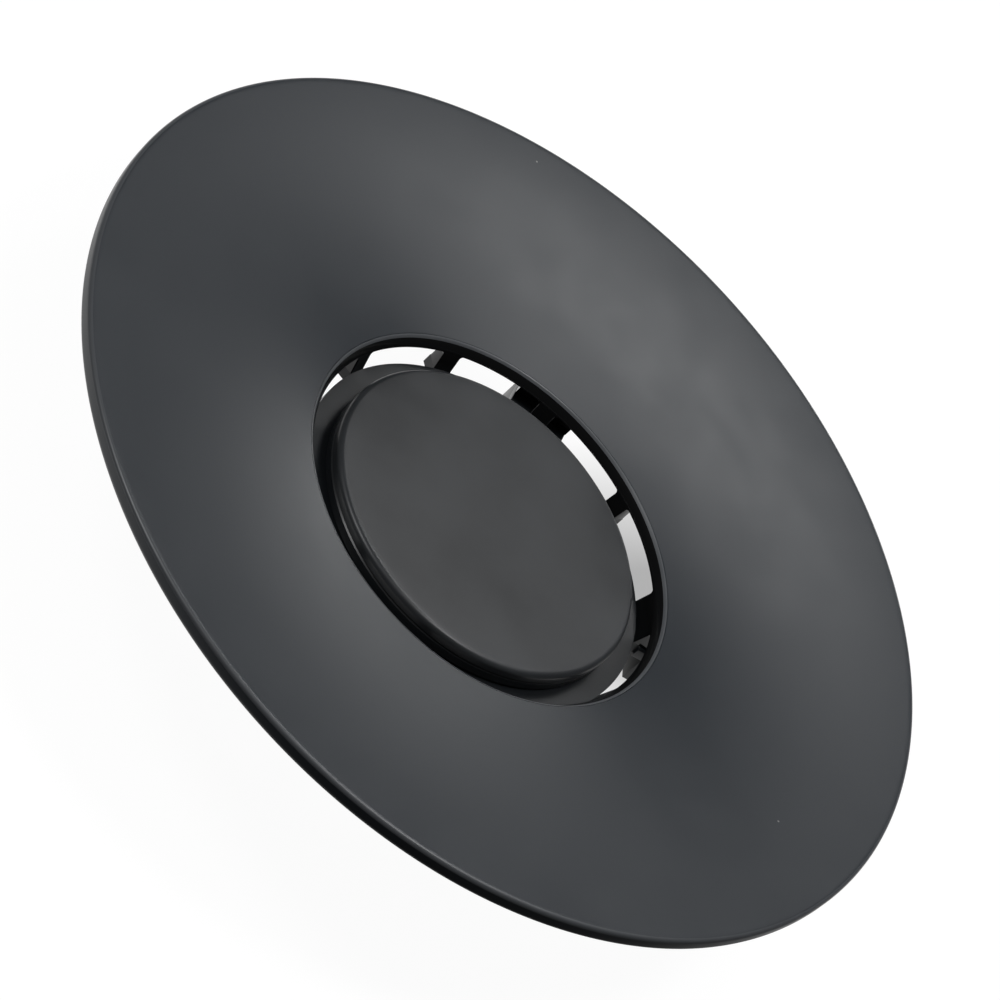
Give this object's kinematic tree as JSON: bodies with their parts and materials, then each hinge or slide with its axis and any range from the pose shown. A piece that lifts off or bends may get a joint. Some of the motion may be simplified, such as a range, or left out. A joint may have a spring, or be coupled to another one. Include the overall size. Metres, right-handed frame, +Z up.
{
  "type": "garbage disposal feed fitting",
  "caption": "Wide black dished sink-top feed fitting of a kitchen garbage disposal, with a slotted strainer well and a feed cap that turns to lock and lifts out.",
  "frame": {"origin": "on the axis, at the neck's lower end", "axes": "+Z up along the axis of the well and the cap; +X along the lock bar and through a wide rib"},
  "size_m": [0.2, 0.2, 0.0437],
  "materials": {
    "satin_black": "fine textured satin black",
    "gloss_black": "polished black",
    "black_plastic": "plain moulded black",
    "rubber": "matt black rubber",
    "stainless": "stainless, turned or sheared",
    "brass": "turned brass",
    "magnet": "nickel plated"
  },
  "bodies": {
    "fitting": {"dish_plate": "satin_black", "rim_gasket": "rubber", "strainer_collar": "gloss_black", "throat_sleeve": "gloss_black", "stack_screws": "stainless", "boss_inserts": "brass", "neck_seal": "rubber", "splash_baffle": "rubber", "baffle_ring": "black_plastic"},
    "plug": {"plug_body": "black_plastic", "plug_seal": "rubber", "stem_bush": "brass"},
    "cap": {"cap_top": "satin_black", "cap_skirt": "gloss_black", "cap_stem": "stainless", "stem_pin": "stainless", "stem_washer": "stainless", "lock_bar": "stainless", "stem_screw": "stainless", "cap_magnets": "magnet"}
  },
  "joints": [
    {"name": "cap_lift", "type": "slide", "parent": "fitting", "child": "plug", "axis": [0, 0, 1], "range_m": [0, 0.06]},
    {"name": "cap_turn", "type": "hinge", "parent": "plug", "child": "cap", "pos_m": [0, 0, 0.02], "axis": [0, 0, 1], "range_deg": [0, 60]}
  ]
}
